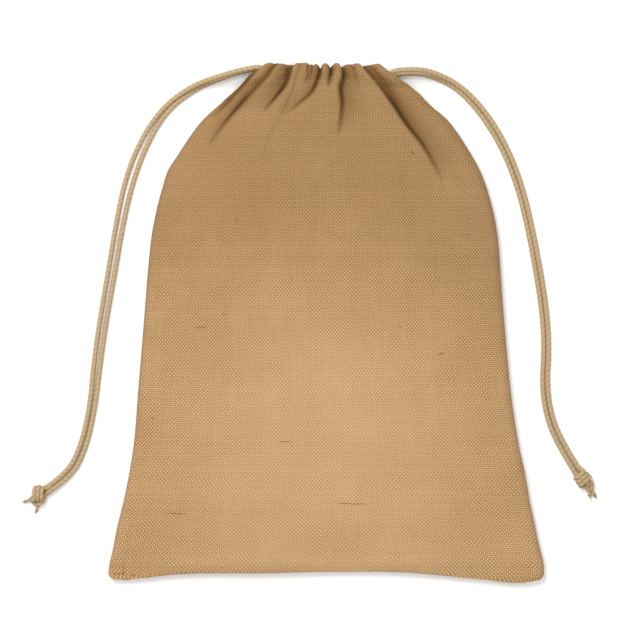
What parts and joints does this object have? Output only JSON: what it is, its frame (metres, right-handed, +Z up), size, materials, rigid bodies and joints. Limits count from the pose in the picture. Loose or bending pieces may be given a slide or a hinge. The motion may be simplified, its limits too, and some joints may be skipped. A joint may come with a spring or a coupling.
{
  "type": "drawstring gift pouch",
  "caption": "Flat jute gift pouch lying on its back, its mouth gathered on two opposed drawstrings that leave the casing at each side and end in knots.",
  "frame": {"origin": "On the table, under the middle of the bag (the box of the bag without its free cords).", "axes": "+X across the bag to the right, +Y along the bag towards its mouth, +Z up from the table through the front cloth"},
  "size_m": [0.3293, 0.2977, 0.0186],
  "materials": {
    "jute_cloth": "natural plain-weave hessian, matt",
    "jute_hem": "doubled hessian, matt",
    "sewing_thread": "spun polyester thread, slight sheen",
    "cotton_cord": "soft twisted cord, matt"
  },
  "bodies": {
    "pouch": {"front_panel": "jute_cloth", "back_panel": "jute_cloth", "left_side_seam": "jute_hem", "right_side_seam": "jute_hem", "bottom_seam": "jute_hem", "front_casing": "jute_hem", "back_casing": "jute_hem", "front_casing_stitches": "sewing_thread", "back_casing_stitches": "sewing_thread"},
    "left_drawstring": {"left_cord_in_casing": "cotton_cord", "left_front_strand": "cotton_cord", "left_back_strand": "cotton_cord", "left_knot": "cotton_cord", "left_tails": "cotton_cord"},
    "right_drawstring": {"right_cord_in_casing": "cotton_cord", "right_front_strand": "cotton_cord", "right_back_strand": "cotton_cord", "right_knot": "cotton_cord", "right_tails": "cotton_cord"}
  },
  "joints": [
    {"name": "left_pull", "type": "slide", "parent": "pouch", "child": "left_drawstring", "axis": [-1, 0, 0], "range_m": [0, 0.008]},
    {"name": "right_pull", "type": "slide", "parent": "pouch", "child": "right_drawstring", "axis": [1, 0, 0], "range_m": [0, 0.008]}
  ]
}
